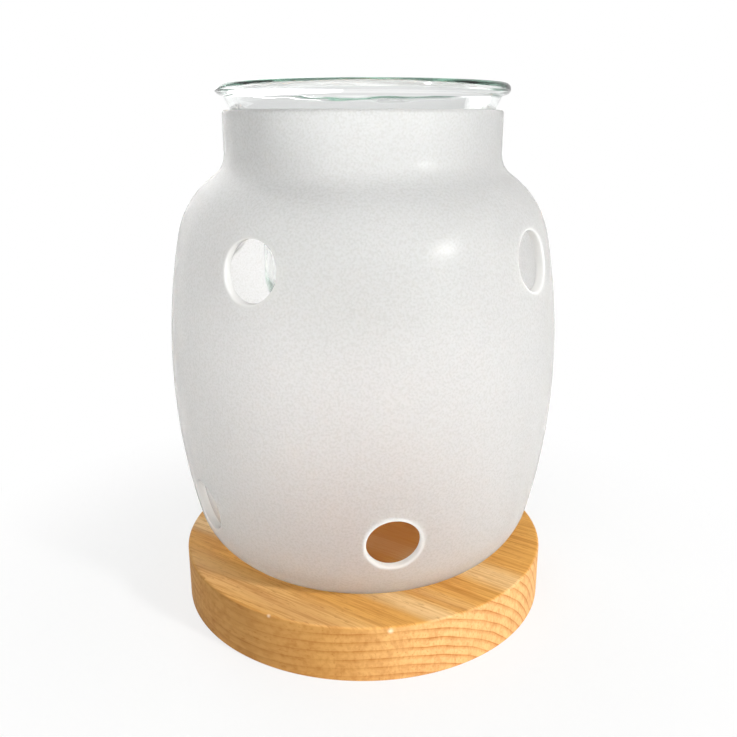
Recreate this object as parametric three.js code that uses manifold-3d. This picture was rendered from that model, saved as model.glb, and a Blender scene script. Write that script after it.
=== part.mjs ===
// Essential oil burner: a turned wooden base, a bulb-shaped shade of frosted glass with bored air vents,
// and a deep cup of clear glass, for water and oil, that hangs in the neck of the shade.
// Millimetres, +Z up, origin at the middle of the base's underside. -Y is the side with a low vent.

import * as THREE from "three";
import { mergeVertices } from "three/addons/utils/BufferGeometryUtils.js";
import Module from "manifold-3d";

const wasm = await Module();
wasm.setup();

// How finely round shapes are stepped
const turnSteps = 60;
const boreSteps = 24;
const arcError = 0.09;

// Wooden base
const baseRadius = 52.5;
const baseThickness = 15.7;
const baseEdgeRound = 0.8;
const recessDepth = 1.8;
const recessClearance = 0.35;

// Frosted glass shade, with heights from its foot
const shadeWall = 2.4;
const glassEdgeRound = 0.9;
const footFlatWidth = 2.1;
const heelRound = 20.25;
const bellyRadius = 53.15;
const bellyHeight = 56.1;
const sideCurve = 172;
const shoulderHeight = 111.05;
const shoulderRound = 24.2;
const neckRadius = 36.6;
const neckFillet = 6.5;
const neckStraight = 10.86;

// Air vents bored level through the shade, angles in degrees from -Y towards +X
const lowVentBore = 14.2;
const lowVentHeight = 22.7;
const lowVentAngles = [0, 74, 147, 221, 294.7];
const highVentBore = 14.8;
const highVentHeight = 87.9;
const highVentAngles = [47, 137, 229, 320.5];

// Clear glass oil cup
const cupWall = 2.2;
const cupFloor = 3.2;
const cupSideGap = 7.1;
const cupSeatClearance = 0.1;
const cupFlareCurve = 81;
const cupStraight = 9.9;
const cupCornerRound = 9;
const cupLipRise = 6.5;
const cupLipRound = 1.45;
const cupLipLedge = 0.5;
const cupInnerEdgeRound = 1;

// Materials
const honeyWood = new THREE.MeshStandardMaterial({ color: 0xd9a259, roughness: 0.55, metalness: 0 });
const frostedGlass = new THREE.MeshStandardMaterial({ color: 0xe3e4e2, roughness: 0.6, metalness: 0 });
const clearGlass = new THREE.MeshStandardMaterial({
  color: 0xd3ddd6, roughness: 0.05, metalness: 0, transparent: true, opacity: 0.4,
});

const quarterTurn = Math.PI / 2;

// An outline point: x is the distance from the axis, y the height
function point(radius, height) {
  return new THREE.Vector2(radius, height);
}

// Points along a circle about centre, from one angle to another
function arc(centre, radius, from, to) {
  const stepAngle = 2 * Math.acos(1 - arcError / radius);
  const steps = Math.max(2, Math.ceil(Math.abs(to - from) / stepAngle));
  const points = [];
  for (let i = 0; i <= steps; i += 1) {
    const angle = from + (to - from) * i / steps;
    points.push(point(centre.x + radius * Math.cos(angle), centre.y + radius * Math.sin(angle)));
  }
  return points;
}

// The direction from one centre to another, where their circles run into each other
function directionTo(from, to) {
  return Math.atan2(to.y - from.y, to.x - from.x);
}

// A closed geometry as a solid, its shared vertices merged
function solidOf(geometry) {
  geometry.deleteAttribute("normal");
  geometry.deleteAttribute("uv");
  const merged = mergeVertices(geometry);
  return new wasm.Manifold(new wasm.Mesh({
    numProp: 3,
    vertProperties: merged.attributes.position.array,
    triVerts: new Uint32Array(merged.index.array),
  }));
}

function meshOf(name, solid, material) {
  const { vertProperties, triVerts } = solid.getMesh();
  const geometry = new THREE.BufferGeometry();
  geometry.setAttribute("position", new THREE.BufferAttribute(vertProperties, 3));
  geometry.setIndex(new THREE.BufferAttribute(triVerts, 1));
  geometry.computeVertexNormals();
  const mesh = new THREE.Mesh(geometry, material);
  mesh.name = name;
  return mesh;
}

// A solid turned about the upright axis from an outline
function turned(outline) {
  const lathe = new THREE.LatheGeometry(outline, turnSteps);
  lathe.rotateX(quarterTurn);
  return solidOf(lathe);
}

// The circles that the outside of the shade runs along, from the foot to the neck
const sideCentre = point(bellyRadius - sideCurve, bellyHeight);
const heelCentre = centreInside(heelRound, heelRound);
const shoulderCentre = centreInside(shoulderHeight - shoulderRound, shoulderRound);
const filletCentre = neckFilletCentre();
const shadeHeight = filletCentre.y + neckStraight;
const neckBore = neckRadius - shadeWall;

// The centre, at a height, of a circle that touches the side curve from inside
function centreInside(height, radius) {
  const rise = height - sideCentre.y;
  return point(sideCentre.x + Math.sqrt((sideCurve - radius) ** 2 - rise ** 2), height);
}

function neckFilletCentre() {
  const radius = neckRadius + neckFillet;
  const reach = shoulderRound + neckFillet;
  return point(radius, shoulderCentre.y + Math.sqrt(reach ** 2 - (radius - shoulderCentre.x) ** 2));
}

// The wall of the shade at a depth into the glass: 0 is the outside
function shadeSkin(depth) {
  const heelEnd = directionTo(sideCentre, heelCentre);
  const sideEnd = directionTo(sideCentre, shoulderCentre);
  const shoulderEnd = directionTo(shoulderCentre, filletCentre);
  return [
    ...arc(heelCentre, heelRound - depth, -quarterTurn, heelEnd),
    ...arc(sideCentre, sideCurve - depth, heelEnd, sideEnd),
    ...arc(shoulderCentre, shoulderRound - depth, sideEnd, shoulderEnd),
    ...arc(filletCentre, neckFillet + depth, shoulderEnd + Math.PI, Math.PI),
  ];
}

function shadeOutline() {
  const rimRound = (radius, from, to) =>
    arc(point(radius, shadeHeight - glassEdgeRound), glassEdgeRound, from, to);
  const footRound = (height, from, to) =>
    arc(point(heelCentre.x - footFlatWidth + glassEdgeRound, height), glassEdgeRound, from, to);
  const outline = [
    ...shadeSkin(0),
    ...rimRound(neckRadius - glassEdgeRound, 0, quarterTurn),
    ...rimRound(neckBore + glassEdgeRound, quarterTurn, Math.PI),
    ...shadeSkin(shadeWall).reverse(),
    ...footRound(shadeWall - glassEdgeRound, quarterTurn, Math.PI),
    ...footRound(glassEdgeRound, Math.PI, 3 * quarterTurn),
  ];
  return [...outline, outline[0]];
}

// One drill for a vent, reaching outwards from halfway to the axis
function ventDrill(bore, height, degrees) {
  const drill = new THREE.CylinderGeometry(bore / 2, bore / 2, bellyRadius, boreSteps);
  drill.translate(0, -bellyRadius, 0);
  drill.rotateZ(THREE.MathUtils.degToRad(degrees));
  drill.translate(0, 0, height);
  return solidOf(drill);
}

function buildShade() {
  let shade = turned(shadeOutline());
  for (const degrees of lowVentAngles) {
    shade = shade.subtract(ventDrill(lowVentBore, lowVentHeight, degrees));
  }
  for (const degrees of highVentAngles) {
    shade = shade.subtract(ventDrill(highVentBore, highVentHeight, degrees));
  }
  const mesh = meshOf("frosted_glass_shade", shade, frostedGlass);
  mesh.position.z = baseThickness - recessDepth;
  return mesh;
}

// The recess takes the round heel of the shade, so it is as wide as the heel where it leaves the wood
function recessRadius() {
  const heelWidth = Math.sqrt(heelRound ** 2 - (heelRound - recessDepth) ** 2);
  return heelCentre.x + heelWidth + recessClearance;
}

function buildBase() {
  const edgeRound = (height, from, to) =>
    arc(point(baseRadius - baseEdgeRound, height), baseEdgeRound, from, to);
  const outline = [
    point(0, 0),
    ...edgeRound(baseEdgeRound, -quarterTurn, 0),
    ...edgeRound(baseThickness - baseEdgeRound, 0, quarterTurn),
    point(recessRadius(), baseThickness),
    point(recessRadius(), baseThickness - recessDepth),
    point(0, baseThickness - recessDepth),
  ];
  return meshOf("wooden_base", turned(outline), honeyWood);
}

// The cup's flared wall rests on the rounded inner edge of the neck, which sets how deep it hangs.
// Heights of the cup are from the foot of the shade too.
function cupOutline() {
  const bodyRadius = neckBore - cupSideGap;
  const neckEdge = point(neckBore + glassEdgeRound, shadeHeight - glassEdgeRound);
  const seatReach = cupFlareCurve - glassEdgeRound - cupSeatClearance;
  const seatAcross = bodyRadius + cupFlareCurve - neckEdge.x;
  const flareStart = neckEdge.y - Math.sqrt(seatReach ** 2 - seatAcross ** 2);
  const flareCentre = point(bodyRadius + cupFlareCurve, flareStart);

  const cupTop = shadeHeight + cupLipRise;
  const lipHeight = cupTop - cupLipRound;
  const flareEnd = Math.PI - Math.asin((lipHeight - cupLipRound - flareStart) / cupFlareCurve);
  const lipCentre = point(flareCentre.x + cupFlareCurve * Math.cos(flareEnd) + cupLipLedge, lipHeight);

  const innerCurve = cupFlareCurve + cupWall;
  const edgeRise = cupTop - cupInnerEdgeRound - flareStart;
  const edgeAcross = Math.sqrt((innerCurve - cupInnerEdgeRound) ** 2 - edgeRise ** 2);
  const edgeCentre = point(flareCentre.x - edgeAcross, flareStart + edgeRise);
  const edgeEnd = directionTo(flareCentre, edgeCentre);

  const cornerRadius = bodyRadius - cupCornerRound;
  const cornerHeight = flareStart - cupStraight;
  const cupBottom = cornerHeight - cupCornerRound;
  const innerCorner = cupCornerRound - cupWall;
  return [
    point(0, cupBottom),
    ...arc(point(cornerRadius, cornerHeight), cupCornerRound, -quarterTurn, 0),
    ...arc(flareCentre, cupFlareCurve, Math.PI, flareEnd),
    ...arc(lipCentre, cupLipRound, -quarterTurn, quarterTurn),
    ...arc(edgeCentre, cupInnerEdgeRound, quarterTurn, edgeEnd),
    ...arc(flareCentre, innerCurve, edgeEnd, Math.PI),
    ...arc(point(cornerRadius, cupBottom + cupFloor + innerCorner), innerCorner, 0, -quarterTurn),
    point(0, cupBottom + cupFloor),
  ];
}

function buildCup() {
  const mesh = meshOf("clear_glass_oil_cup", turned(cupOutline()), clearGlass);
  mesh.position.z = baseThickness - recessDepth;
  return mesh;
}

const burner = new THREE.Group();
burner.add(buildBase(), buildShade(), buildCup());

export default burner;
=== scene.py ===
# Essential oil burner: fine shapes, finishes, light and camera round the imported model. Metres, +Z up.
import math

import bmesh
import bpy
from mathutils import Matrix, Vector


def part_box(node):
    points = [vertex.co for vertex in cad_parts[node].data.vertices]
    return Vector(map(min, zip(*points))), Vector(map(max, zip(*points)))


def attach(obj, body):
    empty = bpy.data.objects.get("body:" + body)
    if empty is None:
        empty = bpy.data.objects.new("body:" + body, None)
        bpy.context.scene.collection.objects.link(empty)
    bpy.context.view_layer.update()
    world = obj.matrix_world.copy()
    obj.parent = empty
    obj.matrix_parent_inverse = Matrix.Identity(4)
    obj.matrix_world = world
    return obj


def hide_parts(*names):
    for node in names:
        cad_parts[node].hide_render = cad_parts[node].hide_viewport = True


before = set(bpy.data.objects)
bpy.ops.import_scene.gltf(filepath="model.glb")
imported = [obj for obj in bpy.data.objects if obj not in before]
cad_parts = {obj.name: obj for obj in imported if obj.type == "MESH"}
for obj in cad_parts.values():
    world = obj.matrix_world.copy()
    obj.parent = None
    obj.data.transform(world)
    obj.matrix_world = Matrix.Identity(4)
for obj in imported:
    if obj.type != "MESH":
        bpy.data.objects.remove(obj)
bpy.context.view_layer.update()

mm = 0.001
quarterTurn = math.pi / 2
seam = 0.004 * mm    # points closer than this are one point
fewestSteps = 4      # of any arc in an outline
smooth = {"interpolation_type": "SMOOTHSTEP"}
colourMix = {"data_type": "RGBA", "out": 2}
under, over = 6, 7    # the two colour inputs of a Mix node
print("frame loaded:", ", ".join(sorted(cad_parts)))


def linearColour(hexCode):    # sRGB hex to the linear values that Blender works in
    values = [int(hexCode[i:i + 2], 16) / 255 for i in (0, 2, 4)]
    return [v / 12.92 if v <= 0.04045 else ((v + 0.055) / 1.055) ** 2.4 for v in values] + [1.0]


# Adds a node with its settings and links, and gives one of its outputs. Inputs go by name or in order.
def addNode(tree, kind, inputs=(), stops=None, out=0, **settings):
    node = tree.nodes.new("ShaderNode" + kind)
    for name, value in settings.items():
        setattr(node, name, value)
    for name, value in inputs.items() if isinstance(inputs, dict) else enumerate(inputs):
        if isinstance(value, bpy.types.NodeSocket):
            tree.links.new(value, node.inputs[name])
        else:
            node.inputs[name].default_value = value
    if stops:
        ramp = node.color_ramp.elements
        while len(ramp) < len(stops):
            ramp.new(1.0)
        for stop, (position, colour) in zip(ramp, stops):
            stop.position = position
            stop.color = linearColour(colour)
    return node.outputs[out] if node.outputs else None


def newMaterial(name):
    material = bpy.data.materials.new(name)
    material.use_nodes = True
    material.node_tree.nodes.clear()
    return material, material.node_tree


# Outlines are drawn in the XZ plane by moving one tip, then turned about the upright axis

def startOutline(x, z):
    bm = bmesh.new()
    return bm, bm.verts.new((x, 0, z))


def drawLine(bm, tip, x, z):
    if (tip.co - Vector((x, 0, z))).length < seam:
        return tip
    made = bmesh.ops.extrude_vert_indiv(bm, verts=[tip])["verts"][0]
    made.co = (x, 0, z)
    return made


def drawArc(bm, tip, centre, turn, stepLength):    # positive turns run from +X towards +Z
    radius = (tip.co - centre).length
    steps = max(fewestSteps, math.ceil(radius * abs(turn) / stepLength))
    made = bmesh.ops.spin(bm, geom=[tip], cent=centre, axis=(0, -1, 0), angle=turn, steps=steps)
    return next(g for g in made["geom_last"] if isinstance(g, bmesh.types.BMVert))


def turnOutline(bm, steps):
    bmesh.ops.remove_doubles(bm, verts=bm.verts, dist=seam)
    outline = bm.verts[:] + bm.edges[:]
    bmesh.ops.spin(bm, geom=outline, cent=(0, 0, 0), axis=(0, 0, 1), angle=4 * quarterTurn, steps=steps,
                   use_merge=True)
    bmesh.ops.remove_doubles(bm, verts=bm.verts, dist=seam)
    bmesh.ops.recalc_face_normals(bm, faces=bm.faces)


def makePiece(bm, name, material, body, node):
    mesh = bpy.data.meshes.new(name)
    bm.to_mesh(mesh)
    bm.free()
    mesh.materials.append(material)
    mesh.polygons.foreach_set("use_smooth", [True] * len(mesh.polygons))
    piece = bpy.data.objects.new(name, mesh)
    bpy.context.scene.collection.objects.link(piece)
    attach(piece, body)
    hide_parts(node)
    print("made", name, len(mesh.polygons), "faces")


# Solid softwood disc, turned on a lathe, sanded and oiled

base = {
    "edgeRound": 0.8 * mm,
    "edgeSteps": 5,
    "recessDepth": 1.8 * mm,
    "recessRadius": 37.3 * mm,
    "recessEdge": 0.25 * mm,
    "recessEdgeSteps": 3,
    "flatRing": 0.3 * mm,         # keeps the shading of the recess flat up to its wall
    "segments": 192,
}

wood = {
    "grainAngle": -44,            # degrees from +X, the way the log lies
    "pith": (-40.2, -33.8),       # mm across the grain and up, where the growth rings centre
    "ringWidth": 2.5,             # mm
    "sway": 3.2,                  # mm that the rings stray from true circles
    "ripple": 0.4,                # mm that their lines waver
    "streakSway": 2.0,            # mm that the pale streaks waver
    "patterns": {                 # stretch along, across and up, width in mm, detail
        "sway": ((0.12, 1, 1), 22, 2),
        "ripple": ((0.2, 1, 1), 6, 1),
        "fading": ((0.06, 1, 1), 9, 1),
        "fibres": ((0.04, 1, 0.5), 0.5, 3),    # real fibres are finer, but would not show
        "bands": ((0.02, 1, 1), 3.8, 2),
        "mottle": ((0.3, 1, 0.4), 0.9, 2),
        "ticks": ((0.2, 1, 0.6), 0.5, 2),      # pores and rays, also coarser than the real ones
    },
    "oneRing": (                  # how much late wood there is, across the width of a ring
        (0.0, "404040"),
        (0.15, "000000"),
        (0.5, "303030"),
        (0.82, "C0C0C0"),
        (0.92, "FFFFFF"),
        (1.0, "404040"),
    ),
    "ringsShow": (0.4, 0.62),     # of the fading pattern, from where the rings are faintest to full
    "longGrain": ("E0A756", "C8893C"),    # early and late wood
    "endGrain": ("E0B176", "B97534"),
    "ranges": {                   # from and to of what is read, then what is made of these two ends
        "endShare": (0.35, 0.9, 0.0, 1.0),
        "topShare": (0.3, 0.9, 0.0, 1.0),
        "faintest": (0.0, 1.0, 0.3, 0.7),
        "paintedShadeSide": (0.6, 1.0, 0.0, 0.36),
        "shadowInsideShare": (14 * mm, 34 * mm, 0.85, 0.0),
        "ticks": (0.6, 0.74, 0.0, 0.45),
        "roughness": (0.0, 1.0, 0.62, 0.76),
    },
    "darkened": {                 # how patterns darken the wood: from, to, share on top and round the side
        "fibres": (0.42, 0.66, 0.75, 0.35),
        "bands": (0.38, 0.68, 0.35, 0.35),
        "mottle": (0.45, 0.68, 0.15, 0.4),
    },
    "paleStreaks": (              # mm across the grain, half width, strength
        (-46.0, 9.0, 0.3),
        (-27.5, 5.0, 0.75),
        (-20.5, 3.0, 0.25),
        (-3.5, 7.0, 0.7),
    ),
    "nicks": (                    # pale chips on the rim: degrees from -Y towards +X, height and width in mm
        (-35.7, 15.4, 0.8),
        (-1.3, 14.6, 1.1),
    ),
    "nickShare": 0.6,
    "layers": {                   # what lies over the grain
        "paintedShadeSide": "7E5F44",        # painted shade on the side of the base that faces front left
        "pale": "F2D09A",
        "dark": "E3D3BF",
        "paintedShadowInside": "A55C17",        # painted shadow on the wood inside the glass shade, deepest at the middle
        "ticks": "A5682B",
        "nick": "F6E6CE",
    },
    "relief": {"Strength": 0.3, "Distance": 0.08 * mm},
    "shine": {"IOR": 1.5, "Specular IOR Level": 0.22},
}


def lateWood(tree, inLog, pattern):    # growth rings round the pith, 1 where a ring is darkest
    radius = addNode(tree, "VectorMath", (inLog, (0, 1, 1)), operation="MULTIPLY")
    radius = addNode(tree, "VectorMath", (radius,), out="Value", operation="LENGTH")
    for name in ("sway", "ripple"):
        radius = addNode(tree, "Math", (pattern[name], wood[name], radius), operation="MULTIPLY_ADD")
    rings = addNode(tree, "Math", (radius, wood["ringWidth"]), operation="DIVIDE")
    ringPlace = addNode(tree, "Math", (rings,), operation="FRACT")
    return addNode(tree, "ValToRGB", {"Fac": ringPlace}, stops=wood["oneRing"])


def grainColour(tree, inLog, pattern, facing, alongLog):
    endShare = addNode(tree, "VectorMath", (facing, alongLog), out="Value", operation="DOT_PRODUCT")
    endShare = addNode(tree, "Math", (endShare,), operation="ABSOLUTE")
    endShare = addNode(tree, "MapRange", (endShare, *wood["ranges"]["endShare"]), **smooth)
    faintest = addNode(tree, "MapRange", (endShare, *wood["ranges"]["faintest"]))
    shown = addNode(tree, "MapRange", (pattern["fading"], *wood["ringsShow"], faintest, 1.0), **smooth)
    lateShare = addNode(tree, "Math", (lateWood(tree, inLog, pattern), shown), operation="MULTIPLY")
    grains = []
    for early, late in (wood["longGrain"], wood["endGrain"]):
        ends = {under: linearColour(early), over: linearColour(late)}
        grains.append(addNode(tree, "Mix", {"Factor": lateShare, **ends}, **colourMix))
    return addNode(tree, "Mix", {"Factor": endShare, under: grains[0], over: grains[1]}, **colourMix)


def paleShares(tree, inLog, pattern, onTop):    # the pale streaks along the log, which show on top only
    lane = addNode(tree, "SeparateXYZ", (inLog,), out="Y")
    lane = addNode(tree, "Math", (pattern["ripple"], wood["streakSway"], lane), operation="MULTIPLY_ADD")
    zero = wood["pith"][0] - wood["streakSway"] / 2
    for middle, halfWidth, strength in wood["paleStreaks"]:
        off = addNode(tree, "Math", (lane, middle - zero), operation="SUBTRACT")
        off = addNode(tree, "Math", (off,), operation="ABSOLUTE")
        share = addNode(tree, "MapRange", (off, halfWidth / 4, halfWidth, strength, 0.0), **smooth)
        yield addNode(tree, "Math", (share, onTop), operation="MULTIPLY")


def darkShares(tree, pattern, onTop):
    for name, (low, high, topShare, sideShare) in wood["darkened"].items():
        most = addNode(tree, "MapRange", (onTop, 0.0, 1.0, sideShare, topShare))
        yield addNode(tree, "MapRange", (pattern[name], low, high, 0.0, most), **smooth)


def nickShares(tree, place):
    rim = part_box("wooden_base")[1].x
    for degrees, height, width in wood["nicks"]:
        side = math.radians(degrees)
        chip = (rim * math.sin(side), -rim * math.cos(side), height * mm)
        away = addNode(tree, "VectorMath", (place, chip), out="Value", operation="DISTANCE")
        yield addNode(tree, "MapRange", (away, 0.0, width * mm, wood["nickShare"], 0.0), **smooth)


# Gives honey streaks on top, and pale ring arcs with short ticks on the end grain at the front right
def makeWood():
    material, tree = newMaterial("oiledSoftwoodTurned")
    place = addNode(tree, "TexCoord", out="Object")
    facing = addNode(tree, "NewGeometry", out="Normal")
    angle = math.radians(wood["grainAngle"])
    alongLog = (math.cos(angle), math.sin(angle), 0)
    acrossLog = (math.sin(angle), -math.cos(angle), 0)
    across, up = wood["pith"]
    inLog = addNode(tree, "Mapping", {    # in mm, with X along the log
        "Vector": place,
        "Location": (0, -across, -up),
        "Rotation": (0, 0, -angle),
        "Scale": (1 / mm, 1 / mm, 1 / mm),
    })
    pattern = {}
    for name, (stretch, width, detail) in wood["patterns"].items():
        drawn = addNode(tree, "VectorMath", (inLog, stretch), operation="MULTIPLY")
        pattern[name] = addNode(tree, "TexNoise", {"Vector": drawn, "Scale": 1 / width, "Detail": detail})

    ranges = wood["ranges"]
    onTop = addNode(tree, "SeparateXYZ", (facing,), out="Z")
    onTop = addNode(tree, "MapRange", (onTop, *ranges["topShare"]), **smooth)
    # painted shade: the side of the base that faces front left is darkened
    paintedShadeSide = addNode(tree, "VectorMath", (facing, acrossLog), out="Value", operation="DOT_PRODUCT")
    paintedShadeSide = addNode(tree, "MapRange", (paintedShadeSide, *ranges["paintedShadeSide"]), **smooth)
    # painted shadow: the wood inside the glass shade darkens towards the middle
    shadowInsideShare = addNode(tree, "VectorMath", (place, (1, 1, 0)), operation="MULTIPLY")
    shadowInsideShare = addNode(tree, "VectorMath", (shadowInsideShare,), out="Value", operation="LENGTH")
    shadowInsideShare = addNode(tree, "MapRange", (shadowInsideShare, *ranges["shadowInsideShare"]), **smooth)
    ticks = addNode(tree, "MapRange", (pattern["ticks"], *ranges["ticks"]), **smooth)

    layers = [
        ("paintedShadeSide", "MIX", [paintedShadeSide]),
        ("pale", "MIX", paleShares(tree, inLog, pattern, onTop)),
        ("dark", "MULTIPLY", darkShares(tree, pattern, onTop)),
        ("paintedShadowInside", "MIX", [shadowInsideShare]),
        ("ticks", "MIX", [ticks]),
        ("nick", "MIX", nickShares(tree, place)),
    ]
    coloured = grainColour(tree, inLog, pattern, facing, alongLog)
    for name, blending, shares in layers:
        layer = linearColour(wood["layers"][name])
        for share in shares:
            coloured = addNode(tree, "Mix", {"Factor": share, under: coloured, over: layer},
                               blend_type=blending, **colourMix)

    raised = addNode(tree, "Math", (ticks, -1.0, pattern["fibres"]), operation="MULTIPLY_ADD")
    bump = addNode(tree, "Bump", {"Height": raised, **wood["relief"]})
    roughness = addNode(tree, "MapRange", (pattern["fibres"], *ranges["roughness"]))
    surface = addNode(tree, "BsdfPrincipled", {
        "Base Color": coloured, "Roughness": roughness, "Normal": bump, **wood["shine"],
    })
    addNode(tree, "OutputMaterial", {"Surface": surface})
    return material


def makeBase():
    low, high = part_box("wooden_base")
    radius, thickness = high.x, high.z - low.z
    bm = bmesh.new()
    bmesh.ops.create_circle(bm, cap_ends=True, radius=radius, segments=base["segments"])
    bmesh.ops.translate(bm, verts=bm.verts, vec=(0, 0, low.z))
    raised = bmesh.ops.extrude_face_region(bm, geom=bm.faces[:])["geom"]
    top = next(g for g in raised if isinstance(g, bmesh.types.BMFace))
    bmesh.ops.translate(bm, verts=top.verts, vec=(0, 0, thickness))
    bmesh.ops.recalc_face_normals(bm, faces=bm.faces)
    rims = [e for e in bm.edges if abs(e.verts[0].co.z - e.verts[1].co.z) < seam]
    bmesh.ops.bevel(bm, geom=rims, offset=base["edgeRound"], segments=base["edgeSteps"], profile=0.5,
                    affect="EDGES", material=-1)

    flats = [f for f in bm.faces if len(f.verts) == base["segments"]]
    top = max(flats, key=lambda f: f.calc_center_median().z)
    bmesh.ops.inset_region(bm, faces=[top], thickness=radius - base["edgeRound"] - base["recessRadius"])
    sunk = bmesh.ops.extrude_face_region(bm, geom=[top])["geom"]
    recess = next(g for g in sunk if isinstance(g, bmesh.types.BMFace))
    bmesh.ops.translate(bm, verts=recess.verts, vec=(0, 0, -base["recessDepth"]))
    bmesh.ops.delete(bm, geom=[top], context="FACES_ONLY")
    upper = [e for e in bm.edges if all(v.co.z > high.z - seam for v in e.verts)]
    lip = [e for e in upper if all(abs(v.co.xy.length - base["recessRadius"]) < seam for v in e.verts)]
    bmesh.ops.bevel(bm, geom=lip, offset=base["recessEdge"], segments=base["recessEdgeSteps"], profile=0.5,
                    affect="EDGES", material=-1)
    bmesh.ops.inset_region(bm, faces=[recess], thickness=base["flatRing"])
    bmesh.ops.recalc_face_normals(bm, faces=bm.faces)
    makePiece(bm, "turned_wooden_base", makeWood(), "base", "wooden_base")


# Blown glass shade, frosted on the outside, with bored vents

shade = {
    "wall": 2.4 * mm,
    "edgeRound": 0.9 * mm,
    "footFlat": 2.1 * mm,
    "heelRound": 20.25 * mm,
    "bellyRadius": 53.15 * mm,
    "bellyHeight": 56.1 * mm,
    "sideCurve": 172 * mm,
    "shoulderHeight": 111.05 * mm,
    "shoulderRound": 24.2 * mm,
    "neckRadius": 36.6 * mm,
    "neckFillet": 6.5 * mm,
    "segments": 192,
    "step": 1.6 * mm,
    "edgeStep": 0.3 * mm,
}

vents = {
    "rows": {                     # angles in degrees from -Y towards +X
        "low": {
            "bore": 13.45 * mm,
            "edgeRound": 0.7 * mm,
            "height": 22.7 * mm,
            "angles": (0, 74, 147, 221, 294.7),
        },
        "high": {
            "bore": 14.5 * mm,
            "edgeRound": 0.5 * mm,
            "height": 87.9 * mm,
            "angles": (47, 137, 229, 320.5),
        },
    },
    "segments": 56,
    "edgeSteps": 4,
    "collar": 1.2 * mm,           # even ring of wall round each bore
    "clearing": 0.4 * mm,         # gap round the collar that is knitted to the wall
    "groundPast": 0.05 * mm,      # how far the ground finish runs past the rounded edge
}


def insideSide(height, radius):    # centre of a circle that touches the side curve from inside
    rise = height - shade["side"].z
    reach = math.sqrt((shade["sideCurve"] - radius) ** 2 - rise ** 2)
    return Vector((shade["side"].x + reach, 0, height))


def settleShade():    # the circles that the wall runs along, seen in the XZ plane
    low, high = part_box("frosted_glass_shade")
    shade["foot"], shade["rim"] = low.z, high.z
    shade["side"] = Vector((shade["bellyRadius"] - shade["sideCurve"], 0, low.z + shade["bellyHeight"]))
    heel = insideSide(low.z + shade["heelRound"], shade["heelRound"])
    shoulder = insideSide(low.z + shade["shoulderHeight"] - shade["shoulderRound"], shade["shoulderRound"])
    reach = shade["shoulderRound"] + shade["neckFillet"]
    filletX = shade["neckRadius"] + shade["neckFillet"]
    fillet = Vector((filletX, 0, shoulder.z + math.sqrt(reach ** 2 - (filletX - shoulder.x) ** 2)))
    side = shade["side"]
    shade.update(heel=heel, shoulder=shoulder, fillet=fillet)
    shade["heelEnd"] = math.atan2(heel.z - side.z, heel.x - side.x)
    shade["sideEnd"] = math.atan2(shoulder.z - side.z, shoulder.x - side.x)
    shade["shoulderEnd"] = math.atan2(fillet.z - shoulder.z, fillet.x - shoulder.x)


def skinRadius(height, depth):    # distance of the wall from the axis, at a depth into the glass
    heelTop = shade["side"].z + shade["sideCurve"] * math.sin(shade["heelEnd"])
    sideTop = shade["side"].z + shade["sideCurve"] * math.sin(shade["sideEnd"])
    if height < heelTop:
        centre, radius = shade["heel"], shade["heelRound"]
    elif height < sideTop:
        centre, radius = shade["side"], shade["sideCurve"]
    else:
        centre, radius = shade["shoulder"], shade["shoulderRound"]
    return centre.x + math.sqrt(max((radius - depth) ** 2 - (height - centre.z) ** 2, 0))


def drawShade():
    heel, fillet = shade["heel"], shade["fillet"]
    foot, rim, wall = shade["foot"], shade["rim"], shade["wall"]
    edge, step, edgeStep = shade["edgeRound"], shade["step"], shade["edgeStep"]
    bends = [
        (heel, quarterTurn + shade["heelEnd"]),
        (shade["side"], shade["sideEnd"] - shade["heelEnd"]),
        (shade["shoulder"], shade["shoulderEnd"] - shade["sideEnd"]),
        (fillet, -shade["shoulderEnd"]),
    ]
    outer, inner = shade["neckRadius"], shade["neckRadius"] - wall
    footEnd = heel.x - shade["footFlat"] + edge
    bm, tip = startOutline(heel.x, foot)
    for centre, turn in bends:
        tip = drawArc(bm, tip, centre, turn, step)
    tip = drawLine(bm, tip, outer, rim - edge)
    tip = drawArc(bm, tip, Vector((outer - edge, 0, rim - edge)), quarterTurn, edgeStep)
    tip = drawLine(bm, tip, inner + edge, rim)
    tip = drawArc(bm, tip, Vector((inner + edge, 0, rim - edge)), quarterTurn, edgeStep)
    tip = drawLine(bm, tip, inner, fillet.z)
    for centre, turn in reversed(bends):
        tip = drawArc(bm, tip, centre, -turn, step)
    tip = drawLine(bm, tip, footEnd, foot + wall)
    tip = drawArc(bm, tip, Vector((footEnd, 0, foot + wall - edge)), quarterTurn, edgeStep)
    tip = drawLine(bm, tip, footEnd - edge, foot + edge)
    tip = drawArc(bm, tip, Vector((footEnd, 0, foot + edge)), quarterTurn, edgeStep)
    drawLine(bm, tip, heel.x, foot)
    turnOutline(bm, shade["segments"])
    return bm


def ventFrame(angle, vent):    # local X across the vent, Y up, Z outwards
    angle = math.radians(angle)
    across = Vector((math.cos(angle), math.sin(angle), 0))
    outwards = Vector((math.sin(angle), -math.cos(angle), 0))
    up = Vector((0, 0, 1))
    turn = Matrix((across, up, outwards)).transposed()
    return turn.to_4x4(), Vector((0, 0, shade["foot"] + vent["height"]))


def dropRing(verts, turn, middle, radius, depth):    # lays a ring of points on the wall round a vent
    inverse = turn.inverted()
    for vert in verts:
        local = inverse @ (vert.co - middle)
        flat = Vector((local.x, local.y)).normalized() * radius
        wallRadius = skinRadius(middle.z + flat.y, depth)
        outwards = math.sqrt(wallRadius ** 2 - flat.x ** 2)
        vert.co = turn @ Vector((flat.x, flat.y, outwards)) + middle


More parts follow.
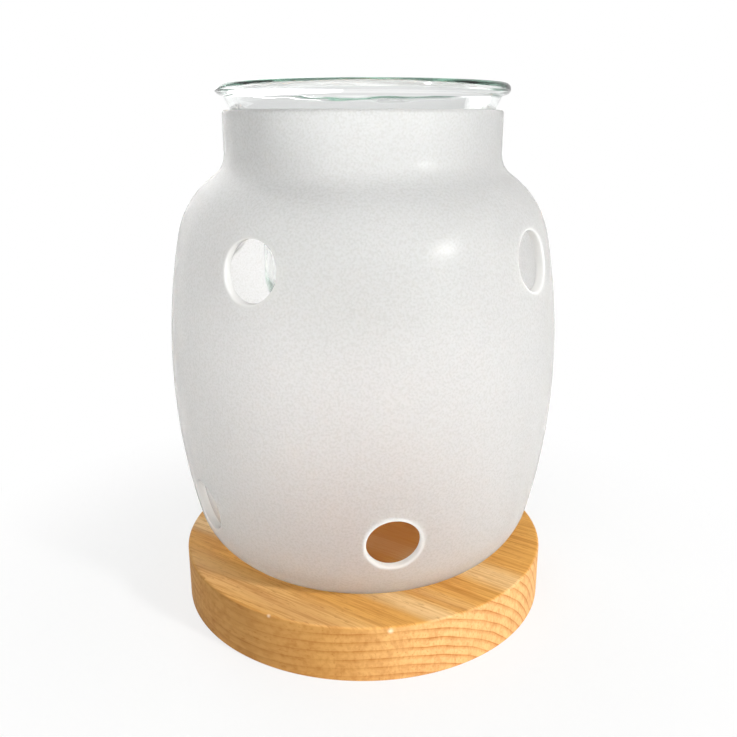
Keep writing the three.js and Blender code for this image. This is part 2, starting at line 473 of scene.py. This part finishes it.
# Clears one side of the wall round a vent, knits a ring of points into it and gives the ring's edges
def openSkin(bm, turn, middle, radius, depth):
    inverse = turn.inverted()
    collar = radius + vents["collar"]
    clearing = collar + vents["clearing"]
    middleDepth = shade["wall"] / 2
    wallPoint = turn @ Vector((0, 0, skinRadius(middle.z, middleDepth))) + middle

    def besideVent(co, reach):
        if (co - wallPoint).length > 2 * reach:
            return False
        local = inverse @ (co - middle)
        onSkin = (co.xy.length > skinRadius(co.z, middleDepth)) == (depth == 0)
        return onSkin and math.hypot(local.x, local.y) < reach

    cleared = {f for v in bm.verts if besideVent(v.co, clearing) for f in v.link_faces}
    bmesh.ops.delete(bm, geom=list(cleared), context="FACES")
    tearReach = clearing + 2 * shade["step"]    # the torn edge lies within two steps of the clearing
    torn = [e for e in bm.edges if e.is_boundary and besideVent(e.verts[0].co, tearReach)]
    placed = Matrix.Translation(middle) @ turn
    outerRing = bmesh.ops.create_circle(bm, radius=collar, segments=vents["segments"], matrix=placed)
    outerRing = outerRing["verts"]
    outerEdges = list({e for v in outerRing for e in v.link_edges})
    stretched = bmesh.ops.extrude_edge_only(bm, edges=outerEdges)["geom"]
    innerRing = [g for g in stretched if isinstance(g, bmesh.types.BMVert)]
    dropRing(outerRing, turn, middle, collar, depth)
    dropRing(innerRing, turn, middle, radius, depth)
    bmesh.ops.bridge_loops(bm, edges=torn + outerEdges)
    edges = [g for g in stretched if isinstance(g, bmesh.types.BMEdge)]
    return [e for e in edges if all(v in innerRing for v in e.verts)]


def boreVent(bm, angle, vent):
    turn, middle = ventFrame(angle, vent)
    outerRim = openSkin(bm, turn, middle, vent["bore"] / 2, 0)
    innerRim = openSkin(bm, turn, middle, vent["bore"] / 2, shade["wall"])
    bmesh.ops.bridge_loops(bm, edges=outerRim + innerRim)
    bmesh.ops.recalc_face_normals(bm, faces=bm.faces)
    bmesh.ops.bevel(bm, geom=outerRim + innerRim, offset=vent["edgeRound"], segments=vents["edgeSteps"],
                    profile=0.5, affect="EDGES", material=-1)


def markGroundEdge(bm, layer, angle, vent):    # the bored wall and its rounded edges scatter more light
    turn, middle = ventFrame(angle, vent)
    inverse = turn.inverted()
    reach = vent["bore"] / 2 + vent["edgeRound"] + vents["groundPast"]
    for vert in bm.verts:
        local = inverse @ (vert.co - middle)
        if local.z > 0 and math.hypot(local.x, local.y) < reach:
            vert[layer] = 1.0


frosting = {
    "grainSize": 0.55 * mm,       # the real grit is finer, but would not show
    "clear": 0.92,                # share of the light that goes through, the rest is scattered back
    "groundClear": 0.6,           # the same on the ground edges
    "roughness": 0.72,
    "facets": ((0.36, "EEEEEC"), (0.6, "FFFFFF")),
    "ground": "F6F6F4",
    "sparkle": {"Strength": 0.6, "Distance": 0.1 * mm},
    "coat": {"Coat Weight": 0.08, "Coat Roughness": 0.17},
}


# Gives a soft milky body, grainy where the key light strikes it, with whiter ground edges
def makeFrostedGlass():
    material, tree = newMaterial("acidFrostedGlass")
    place = addNode(tree, "TexCoord", out="Object")
    grain = addNode(tree, "TexNoise", {"Vector": place, "Scale": 1 / frosting["grainSize"], "Detail": 2.0})
    sparkle = addNode(tree, "Bump", {"Height": grain, **frosting["sparkle"]})
    ground = addNode(tree, "Attribute", out="Fac", attribute_name="groundEdge")
    clear = addNode(tree, "MapRange", (ground, 0.0, 1.0, frosting["clear"], frosting["groundClear"]))
    facets = addNode(tree, "ValToRGB", {"Fac": grain}, stops=frosting["facets"])
    groundColour = linearColour(frosting["ground"])
    tint = addNode(tree, "Mix", {"Factor": ground, under: facets, over: groundColour}, **colourMix)
    surface = addNode(tree, "BsdfPrincipled", {
        "Base Color": tint, "Roughness": frosting["roughness"], "IOR": 1.5, "Transmission Weight": clear,
        "Coat Normal": sparkle, **frosting["coat"],
    })
    addNode(tree, "OutputMaterial", {"Surface": surface})
    return material


def makeShade():
    settleShade()
    bm = drawShade()
    bores = [(angle, vent) for vent in vents["rows"].values() for angle in vent["angles"]]
    for angle, vent in bores:
        boreVent(bm, angle, vent)
    bmesh.ops.recalc_face_normals(bm, faces=bm.faces)
    layer = bm.verts.layers.float.new("groundEdge")
    for angle, vent in bores:
        markGroundEdge(bm, layer, angle, vent)
    makePiece(bm, "frosted_shade", makeFrostedGlass(), "shade", "frosted_glass_shade")


# Clear glass cup that hangs in the neck

cup = {
    "wall": 2.2 * mm,
    "floor": 3.2 * mm,
    "sideGap": 7.1 * mm,
    "seatClearance": 0.1 * mm,
    "flareCurve": 81 * mm,
    "cornerRound": 9 * mm,
    "lipRound": 1.45 * mm,
    "lipLedge": 0.5 * mm,
    "innerEdgeRound": 1.0 * mm,
    "segments": 224,
    "step": 1.0 * mm,
    "edgeStep": 0.21 * mm,
}


def drawCup():
    low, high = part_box("clear_glass_oil_cup")
    curve, wall, step, edgeStep = cup["flareCurve"], cup["wall"], cup["step"], cup["edgeStep"]
    neckBore = shade["neckRadius"] - shade["wall"]
    bodyRadius = neckBore - cup["sideGap"]
    edgeX, edgeZ = neckBore + shade["edgeRound"], shade["rim"] - shade["edgeRound"]
    seatReach = curve - shade["edgeRound"] - cup["seatClearance"]
    flare = Vector((bodyRadius + curve, 0, 0))
    flare.z = edgeZ - math.sqrt(seatReach ** 2 - (flare.x - edgeX) ** 2)
    lipZ = high.z - cup["lipRound"]
    flareTurn = math.asin((lipZ - cup["lipRound"] - flare.z) / curve)
    lip = Vector((flare.x - curve * math.cos(flareTurn) + cup["lipLedge"], 0, lipZ))
    rise = high.z - cup["innerEdgeRound"] - flare.z
    innerReach = math.sqrt((curve + wall - cup["innerEdgeRound"]) ** 2 - rise ** 2)
    innerEdge = Vector((flare.x - innerReach, 0, flare.z + rise))
    edgeTurn = math.atan2(rise, innerReach)
    corner = Vector((bodyRadius - cup["cornerRound"], 0, low.z + cup["cornerRound"]))
    floor = low.z + cup["floor"]
    innerCorner = Vector((corner.x, 0, floor + cup["cornerRound"] - wall))

    bm, tip = startOutline(0, low.z)
    tip = drawLine(bm, tip, corner.x / 2, low.z)
    tip = drawLine(bm, tip, corner.x, low.z)
    tip = drawArc(bm, tip, corner, quarterTurn, step)
    tip = drawLine(bm, tip, bodyRadius, flare.z)
    tip = drawArc(bm, tip, flare, -flareTurn, step)
    tip = drawLine(bm, tip, lip.x, lip.z - cup["lipRound"])
    tip = drawArc(bm, tip, lip, 2 * quarterTurn, edgeStep)
    tip = drawLine(bm, tip, innerEdge.x, high.z)
    tip = drawArc(bm, tip, innerEdge, quarterTurn - edgeTurn, edgeStep)
    tip = drawArc(bm, tip, flare, edgeTurn, step)
    tip = drawLine(bm, tip, bodyRadius - wall, innerCorner.z)
    tip = drawArc(bm, tip, innerCorner, -quarterTurn, step)
    tip = drawLine(bm, tip, corner.x / 2, floor)
    drawLine(bm, tip, 0, floor)
    turnOutline(bm, cup["segments"])
    return bm


clearGlass = {
    "waves": (14 * mm, 14 * mm, 2.6 * mm),    # width of the waves from blowing, in X, Y and Z
    "relief": {"Strength": 1.0, "Distance": 0.06 * mm},
    "tint": "E6F0EC",
    "density": 40.0,
}


def makeClearGlass():    # gives clear walls with grey-green ends and soft streaks round the lip
    material, tree = newMaterial("clearSodaLimeGlass")
    place = addNode(tree, "TexCoord", out="Object")
    scale = tuple(1 / width for width in clearGlass["waves"])
    drawn = addNode(tree, "Mapping", {"Vector": place, "Scale": scale})
    waves = addNode(tree, "TexNoise", {"Vector": drawn, "Scale": 1.0, "Detail": 1.0})
    ripple = addNode(tree, "Bump", {"Height": waves, **clearGlass["relief"]})
    surface = addNode(tree, "BsdfPrincipled", {
        "Base Color": linearColour("FFFFFF"), "Roughness": 0.0, "IOR": 1.5, "Transmission Weight": 1.0,
        "Normal": ripple,
    })
    inside = addNode(tree, "VolumeAbsorption", {
        "Color": linearColour(clearGlass["tint"]), "Density": clearGlass["density"],
    })
    addNode(tree, "OutputMaterial", {"Surface": surface, "Volume": inside})
    return material


def makeCup():
    makePiece(drawCup(), "clear_oil_cup", makeClearGlass(), "cup", "clear_glass_oil_cup")


# Pale floor, soft studio light and the camera at the photograph's viewing angle

studio = {
    "floorHalf": 4.0,             # metres from the middle to the floor's edge
    "floorColour": "F2F2F0",
    "shown": 0.77,                # share of plain white that the camera sees in the floor
    "fadeFrom": 0.06,             # metres from the middle, where the floor starts to fade into the backdrop
    "fadeTo": 0.15,
    "world": 0.24,                # strength of the softbox round the table
    "inGlass": (                  # what glass shows of its white, from the horizon upwards
        (0.0, "E2E2E2"), (0.18, "E2E2E2"), (0.36, "FFFFFF"), (0.9, "DADADA"),
    ),
    "toSide": 0.5,                # share of that towards either side, which draws the edges of clear glass
    "sideFrom": 0.2,
    "bounces": 64,                # light runs far round inside the walls of the cup
    "aim": 70 * mm,               # height that the lamps look at, the middle of the glass
    "lamps": {                    # degrees from +X and up, metres and watts
        "key": {"azimuth": -49, "up": 20, "distance": 0.9, "size": 0.1, "power": 8.4},
        "back": {"azimuth": 108, "up": 24, "distance": 1.5, "size": 1.2, "power": 9.0},
        "front": {"azimuth": -114, "up": 26, "distance": 1.2, "size": 1.0, "power": 5.2},
    },
}

camera = {
    "azimuth": -8.87,             # degrees, 0 looks along +Y
    "down": 17.04,                # degrees
    "distance": 224.09 * mm,
    "aside": 1.47 * mm,
    "height": 134.7 * mm,
    "lens": 39.76,                # mm
    "nearest": 0.01,              # metres that it sees from and to
    "farthest": 20,
}


# 1 for what the camera sees, also through glass or in it, and 0 for what lights the object
def seenRays(tree):
    seen = addNode(tree, "LightPath", out="Is Camera Ray")
    path = seen.node.outputs
    for name in ("Is Glossy Ray", "Is Transmission Ray"):
        seen = addNode(tree, "Math", (seen, path[name]), operation="MAXIMUM")
    unscattered = addNode(tree, "Math", (path["Diffuse Depth"], 0.5), operation="LESS_THAN")
    return addNode(tree, "Math", (seen, unscattered), operation="MULTIPLY")


def makeFloor():
    bm = bmesh.new()
    bmesh.ops.create_grid(bm, x_segments=1, y_segments=1, size=studio["floorHalf"])
    material, tree = newMaterial("paperSweep")
    place = addNode(tree, "TexCoord", out="Object")
    away = addNode(tree, "VectorMath", (place,), out="Value", operation="LENGTH")
    fade = (away, studio["fadeFrom"], studio["fadeTo"], studio["shown"], 1.0)
    whiteShare = addNode(tree, "MapRange", fade, **smooth)
    share = addNode(tree, "Math", (seenRays(tree), whiteShare), operation="MULTIPLY")
    paper = addNode(tree, "BsdfDiffuse", {"Color": linearColour(studio["floorColour"])})
    white = addNode(tree, "Emission", {"Color": (1, 1, 1, 1), "Strength": 1.0})
    surface = addNode(tree, "MixShader", (share, paper, white))
    addNode(tree, "OutputMaterial", {"Surface": surface})
    mesh = bpy.data.meshes.new("floor")
    bm.to_mesh(mesh)
    bm.free()
    mesh.materials.append(material)
    floor = bpy.data.objects.new("floor", mesh)
    bpy.context.scene.collection.objects.link(floor)


def makeWorld():    # white to the camera, softly shaded in glass and dimmer as light on the object
    world = bpy.data.worlds.new("softbox")
    world.use_nodes = True
    tree = world.node_tree
    tree.nodes.clear()
    direction = addNode(tree, "TexCoord", out="Generated")
    sideways = addNode(tree, "SeparateXYZ", (direction,), out="X")
    upwards = sideways.node.outputs["Z"]
    inGlass = addNode(tree, "ValToRGB", {"Fac": upwards}, stops=studio["inGlass"])
    sideways = addNode(tree, "Math", (sideways,), operation="ABSOLUTE")
    sideShare = addNode(tree, "MapRange", (sideways, studio["sideFrom"], 1.0, 1.0, studio["toSide"]))
    inGlass = addNode(tree, "Math", (inGlass, sideShare), operation="MULTIPLY")
    strength = addNode(tree, "MapRange", (seenRays(tree), 0.0, 1.0, studio["world"], inGlass))
    direct = addNode(tree, "LightPath", out="Is Camera Ray")
    strength = addNode(tree, "Math", (strength, direct), operation="MAXIMUM")
    background = addNode(tree, "Background", {"Color": (1, 1, 1, 1), "Strength": strength})
    addNode(tree, "OutputWorld", {"Surface": background})
    bpy.context.scene.world = world


def addLamp(name, values):    # round soft lamp that looks at the middle of the glass
    around, up = math.radians(values["azimuth"]), math.radians(values["up"])
    away = Vector((math.cos(around) * math.cos(up), math.sin(around) * math.cos(up), math.sin(up)))
    data = bpy.data.lights.new(name, "AREA")
    data.shape = "DISK"
    data.size = values["size"]
    data.energy = values["power"]
    lamp = bpy.data.objects.new(name, data)
    lamp.location = away * values["distance"] + Vector((0, 0, studio["aim"]))
    lamp.rotation_euler = away.to_track_quat("Z", "Y").to_euler()
    bpy.context.scene.collection.objects.link(lamp)


def makeCamera():
    turn = math.radians(camera["azimuth"])
    back = Vector((math.sin(turn), -math.cos(turn), 0))
    side = Vector((math.cos(turn), math.sin(turn), 0))
    data = bpy.data.cameras.new("photoView")
    data.lens = camera["lens"]
    data.clip_start = camera["nearest"]
    data.clip_end = camera["farthest"]
    eye = bpy.data.objects.new("photoView", data)
    eye.location = back * camera["distance"] + side * camera["aside"] + Vector((0, 0, camera["height"]))
    eye.rotation_euler = (math.radians(90 - camera["down"]), 0, turn)
    bpy.context.scene.collection.objects.link(eye)
    bpy.context.scene.camera = eye


makeBase()
makeShade()
makeCup()
print("pieces ready")

makeFloor()
makeWorld()
for name, values in studio["lamps"].items():
    addLamp(name, values)
makeCamera()
cycles = bpy.context.scene.cycles
cycles.max_bounces = cycles.transmission_bounces = cycles.glossy_bounces = studio["bounces"]
bpy.context.scene.view_settings.view_transform = "Standard"
print("studio ready")
